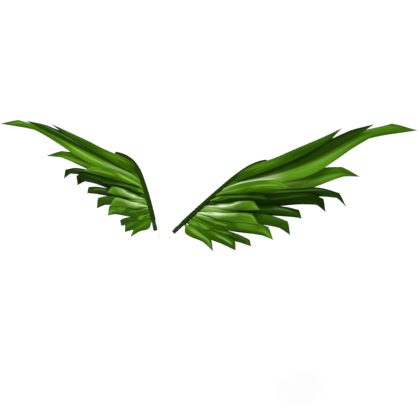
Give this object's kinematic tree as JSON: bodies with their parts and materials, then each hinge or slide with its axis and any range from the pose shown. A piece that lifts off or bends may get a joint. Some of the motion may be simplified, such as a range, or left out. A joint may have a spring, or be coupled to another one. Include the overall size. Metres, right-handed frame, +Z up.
{
  "type": "fairy wings",
  "caption": "Pair of leafy costume wings: long satin leaf blades fanned along two curved wrapped stems, each held in a hinged socket of a small clear back plate.",
  "frame": {"origin": "middle of the yoke back plate's wearer-side face", "axes": "+X to the right-hand wing, +Z up, -Y towards the wearer; the wearer stands on the -Y side and faces -Y"},
  "size_m": [1.2, 0.1587, 0.34],
  "materials": {
    "leaf_bright": "satin",
    "leaf_mid": "satin",
    "leaf_deep": "satin",
    "leaf_dark": "satin",
    "leaf_pale": "satin",
    "stem_green": "satin",
    "wire_green": "satin",
    "steel": "satin",
    "clear_plastic": "gloss",
    "nylon": "gloss"
  },
  "bodies": {
    "yoke": {"back_plate": "clear_plastic", "right_hinge_pin": "nylon", "right_pin_cap": "nylon", "left_hinge_pin": "nylon", "left_pin_cap": "nylon"},
    "right_socket": {"right_socket": "clear_plastic", "right_lock_screw": "nylon"},
    "right_wing": {"right_foot_sleeve": "stem_green", "right_stem_core": "steel", "right_stem_wrap": "stem_green", "right_leaf_wires": "wire_green", "right_leaf_1": "leaf_mid", "right_leaf_2": "leaf_dark", "right_leaf_3": "leaf_bright", "right_leaf_4": "leaf_bright", "right_leaf_5": "leaf_dark", "right_leaf_6": "leaf_dark", "right_leaf_7": "leaf_dark", "right_leaf_8": "leaf_deep", "right_leaf_9": "leaf_bright", "right_leaf_10": "leaf_deep", "right_leaf_11": "leaf_mid", "right_leaf_12": "leaf_mid", "right_cover_leaf_1": "leaf_bright", "right_cover_leaf_2": "leaf_dark", "right_cover_leaf_3": "leaf_pale", "right_cover_leaf_4": "leaf_pale", "right_cover_leaf_5": "leaf_deep", "right_cover_leaf_6": "leaf_bright"},
    "left_socket": {"left_socket": "clear_plastic", "left_lock_screw": "nylon"},
    "left_wing": {"left_foot_sleeve": "stem_green", "left_stem_core": "steel", "left_stem_wrap": "stem_green", "left_leaf_wires": "wire_green", "left_leaf_1": "leaf_mid", "left_leaf_2": "leaf_dark", "left_leaf_3": "leaf_bright", "left_leaf_4": "leaf_bright", "left_leaf_5": "leaf_dark", "left_leaf_6": "leaf_dark", "left_leaf_7": "leaf_dark", "left_leaf_8": "leaf_deep", "left_leaf_9": "leaf_bright", "left_leaf_10": "leaf_deep", "left_leaf_11": "leaf_mid", "left_leaf_12": "leaf_mid", "left_cover_leaf_1": "leaf_bright", "left_cover_leaf_2": "leaf_dark", "left_cover_leaf_3": "leaf_pale", "left_cover_leaf_4": "leaf_pale", "left_cover_leaf_5": "leaf_deep", "left_cover_leaf_6": "leaf_bright"}
  },
  "joints": [
    {"name": "right_wing_fold", "type": "hinge", "parent": "yoke", "child": "right_socket", "pos_m": [0.017, 0.0103, 0], "axis": [0, 0, 1], "range_deg": [-10, 40]},
    {"name": "right_wing_twist", "type": "hinge", "parent": "right_socket", "child": "right_wing", "pos_m": [0.03, 0.0143, 0], "axis": [0.552, 0.5147, 0.6561], "range_deg": [-10, 10]},
    {"name": "left_wing_fold", "type": "hinge", "parent": "yoke", "child": "left_socket", "pos_m": [-0.017, 0.0103, 0], "axis": [0, 0, -1], "range_deg": [-10, 40]},
    {"name": "left_wing_twist", "type": "hinge", "parent": "left_socket", "child": "left_wing", "pos_m": [-0.03, 0.0143, 0], "axis": [0.552, -0.5147, -0.6561], "range_deg": [-10, 10]}
  ]
}
